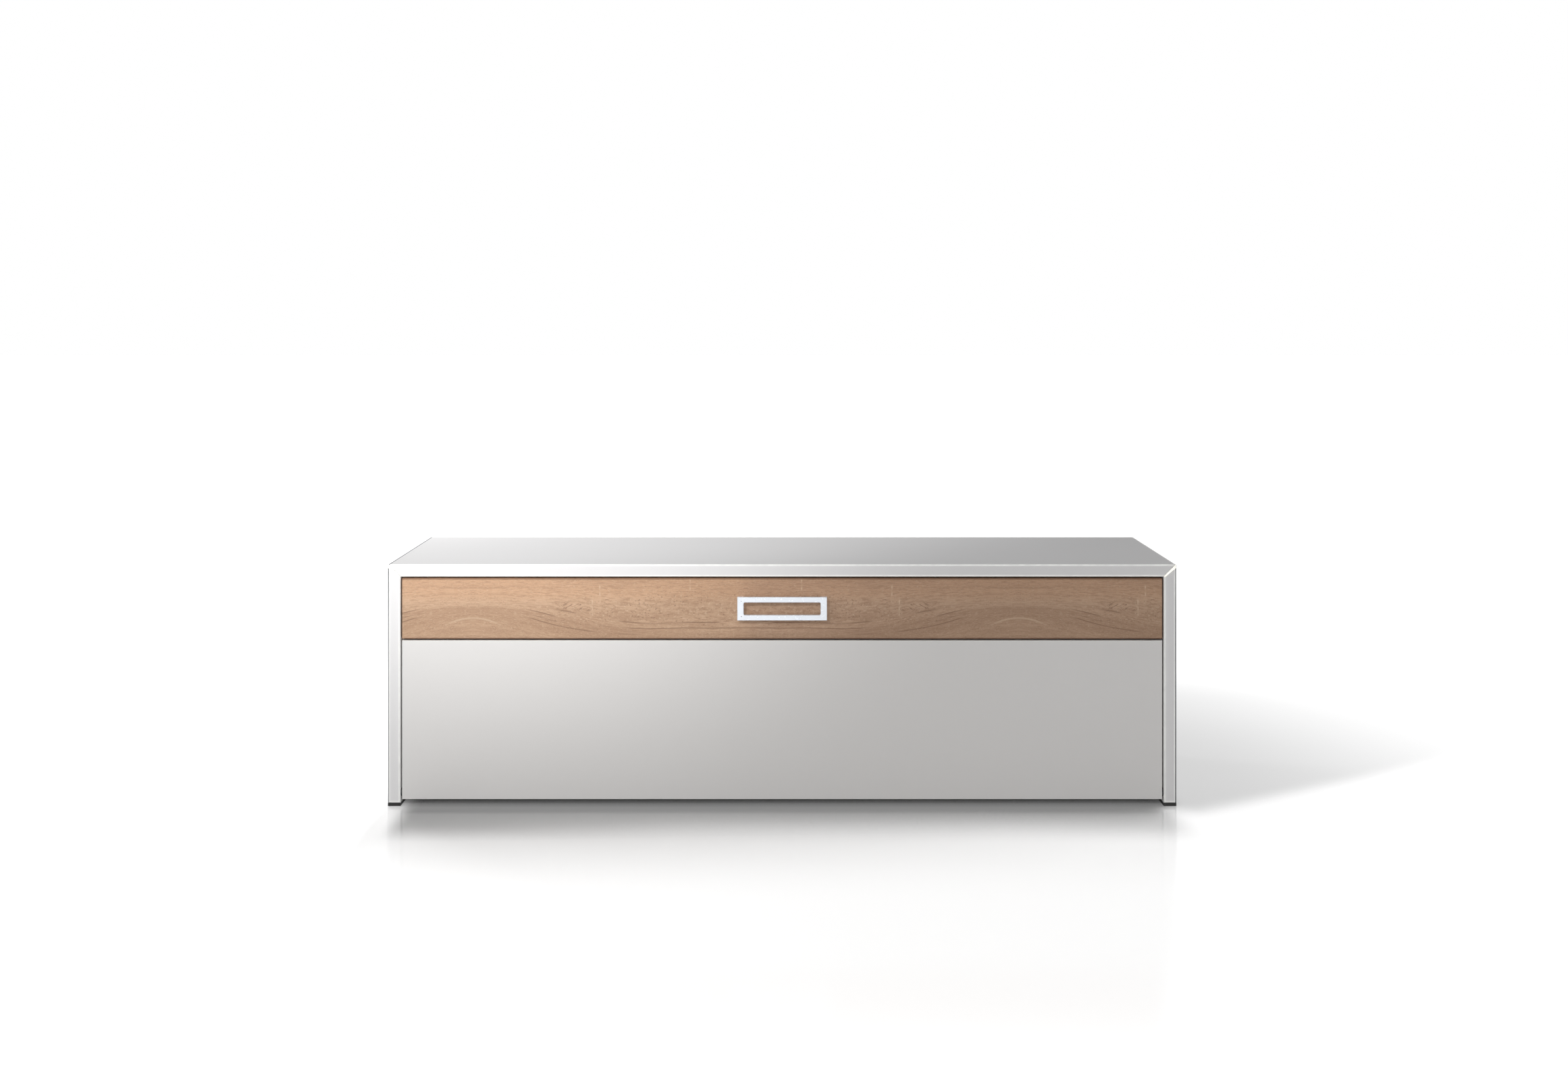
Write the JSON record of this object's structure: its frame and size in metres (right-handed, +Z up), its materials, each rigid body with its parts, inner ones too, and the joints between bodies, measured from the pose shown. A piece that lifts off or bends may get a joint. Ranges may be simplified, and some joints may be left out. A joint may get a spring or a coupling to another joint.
{
  "type": "tv cabinet",
  "caption": "Low white television cabinet with a mitred case, a wide wooden drawer on roller runners and a full-width drop flap on brake stays.",
  "frame": {"origin": "on the floor, under the middle of the cabinet's whole box, the handle included", "axes": "+X to the right as seen from the front, +Y to the back, +Z up; the fronts face -Y"},
  "size_m": [1.5, 0.464, 0.46],
  "materials": {
    "white_lacquer": "white gloss lacquer on board",
    "grey_lacquer": "satin light warm grey lacquer on board",
    "oak_veneer": "light brown oak veneer, matt, grain across the front",
    "white_board": "matt white faced board",
    "back_board": "matt white faced back board",
    "beech": "plain beech strips, unfinished",
    "handle_white": "white gloss enamel",
    "glide_black": "black matt plastic strip",
    "runner_enamel": "white enamelled steel sheet",
    "nylon": "natural white nylon",
    "latch_grey": "grey moulded plastic",
    "zinc_steel": "bright zinc-plated steel",
    "stay_nickel": "satin nickel-plated block"
  },
  "bodies": {
    "case": {"top_panel": "white_lacquer", "right_side_panel": "white_lacquer", "left_side_panel": "white_lacquer", "base_panel": "white_board", "divider_panel": "white_board", "centre_partition": "white_board", "back_panel": "back_board", "right_glide": "glide_black", "left_glide": "glide_black", "right_shelf": "white_board", "left_shelf": "white_board", "mitre_splines": "beech", "case_tongues": "beech", "partition_tongues": "beech", "shelf_bearers": "white_board", "right_case_runner": "runner_enamel", "left_case_runner": "runner_enamel", "front_axles": "zinc_steel", "flap_pins": "zinc_steel", "right_stay_plate": "zinc_steel", "left_stay_plate": "zinc_steel", "right_latch_housing": "latch_grey", "left_latch_housing": "latch_grey"},
    "drawer": {"drawer_front": "oak_veneer", "handle": "handle_white", "handle_screws": "zinc_steel", "right_drawer_side": "white_board", "left_drawer_side": "white_board", "drawer_inner_front": "white_board", "drawer_back": "white_board", "drawer_floor": "white_board", "right_drawer_runner": "runner_enamel", "left_drawer_runner": "runner_enamel", "rear_axles": "zinc_steel"},
    "flap": {"flap_panel": "grey_lacquer", "flap_bushes": "nylon", "right_stay_foot": "zinc_steel", "left_stay_foot": "zinc_steel", "strike_plates": "zinc_steel"},
    "right_front_roller": {"right_front_roller": "nylon"},
    "right_rear_roller": {"right_rear_roller": "nylon"},
    "right_stay_rod": {"right_stay_rod": "zinc_steel"},
    "right_stay_block": {"right_stay_block": "stay_nickel"},
    "right_latch_plunger": {"right_latch_plunger": "nylon"},
    "left_front_roller": {"left_front_roller": "nylon"},
    "left_rear_roller": {"left_rear_roller": "nylon"},
    "left_stay_rod": {"left_stay_rod": "zinc_steel"},
    "left_stay_block": {"left_stay_block": "stay_nickel"},
    "left_latch_plunger": {"left_latch_plunger": "nylon"}
  },
  "joints": [
    {"name": "drawer_slide", "type": "slide", "parent": "case", "child": "drawer", "axis": [0, -1, 0], "range_m": [0, 0.3]},
    {"name": "flap_hinge", "type": "hinge", "parent": "case", "child": "flap", "pos_m": [0, -0.2085, 0.025], "axis": [1, 0, 0], "range_deg": [0, 90]},
    {"name": "right_front_roller_spin", "type": "hinge", "parent": "case", "child": "right_front_roller", "pos_m": [0.71975, -0.181, 0.3415], "axis": [1, 0, 0], "range_deg": [0, 1719.9]},
    {"name": "right_rear_roller_spin", "type": "hinge", "parent": "drawer", "child": "right_rear_roller", "pos_m": [0.71975, 0.1965, 0.3405], "axis": [1, 0, 0], "range_deg": [0, 1910.9]},
    {"name": "right_stay_rod_pivot", "type": "hinge", "parent": "flap", "child": "right_stay_rod", "pos_m": [0.7145, -0.187, 0.18361], "axis": [1, 0, 0], "range_deg": [-45.1, 0]},
    {"name": "right_stay_block_swivel", "type": "hinge", "parent": "case", "child": "right_stay_block", "pos_m": [0.7145, -0.14927, 0.1737], "axis": [1, 0, 0], "range_deg": [0, 45.1]},
    {"name": "right_latch_plunger_stroke", "type": "slide", "parent": "case", "child": "right_latch_plunger", "axis": [0, -1, 0], "range_m": [0, 0.0142]},
    {"name": "left_front_roller_spin", "type": "hinge", "parent": "case", "child": "left_front_roller", "pos_m": [-0.71975, -0.181, 0.3415], "axis": [1, 0, 0], "range_deg": [0, 1719.9]},
    {"name": "left_rear_roller_spin", "type": "hinge", "parent": "drawer", "child": "left_rear_roller", "pos_m": [-0.71975, 0.1965, 0.3405], "axis": [1, 0, 0], "range_deg": [0, 1910.9]},
    {"name": "left_stay_rod_pivot", "type": "hinge", "parent": "flap", "child": "left_stay_rod", "pos_m": [-0.7145, -0.187, 0.18361], "axis": [1, 0, 0], "range_deg": [-45.1, 0]},
    {"name": "left_stay_block_swivel", "type": "hinge", "parent": "case", "child": "left_stay_block", "pos_m": [-0.7145, -0.14927, 0.1737], "axis": [1, 0, 0], "range_deg": [0, 45.1]},
    {"name": "left_latch_plunger_stroke", "type": "slide", "parent": "case", "child": "left_latch_plunger", "axis": [0, -1, 0], "range_m": [0, 0.0142]}
  ],
  "couplings": [
    {"joint": "right_front_roller_spin", "follows": "drawer_slide", "rad_per_m": 100},
    {"joint": "right_rear_roller_spin", "follows": "drawer_slide", "rad_per_m": 111.11},
    {"joint": "right_stay_rod_pivot", "follows": "flap_hinge", "ratio": -0.5},
    {"joint": "right_stay_block_swivel", "follows": "flap_hinge", "ratio": 0.5},
    {"joint": "right_latch_plunger_stroke", "follows": "flap_hinge", "m_per_rad": 0.008913},
    {"joint": "left_front_roller_spin", "follows": "drawer_slide", "rad_per_m": 100},
    {"joint": "left_rear_roller_spin", "follows": "drawer_slide", "rad_per_m": 111.11},
    {"joint": "left_stay_rod_pivot", "follows": "flap_hinge", "ratio": -0.5},
    {"joint": "left_stay_block_swivel", "follows": "flap_hinge", "ratio": 0.5},
    {"joint": "left_latch_plunger_stroke", "follows": "flap_hinge", "m_per_rad": 0.008913}
  ]
}
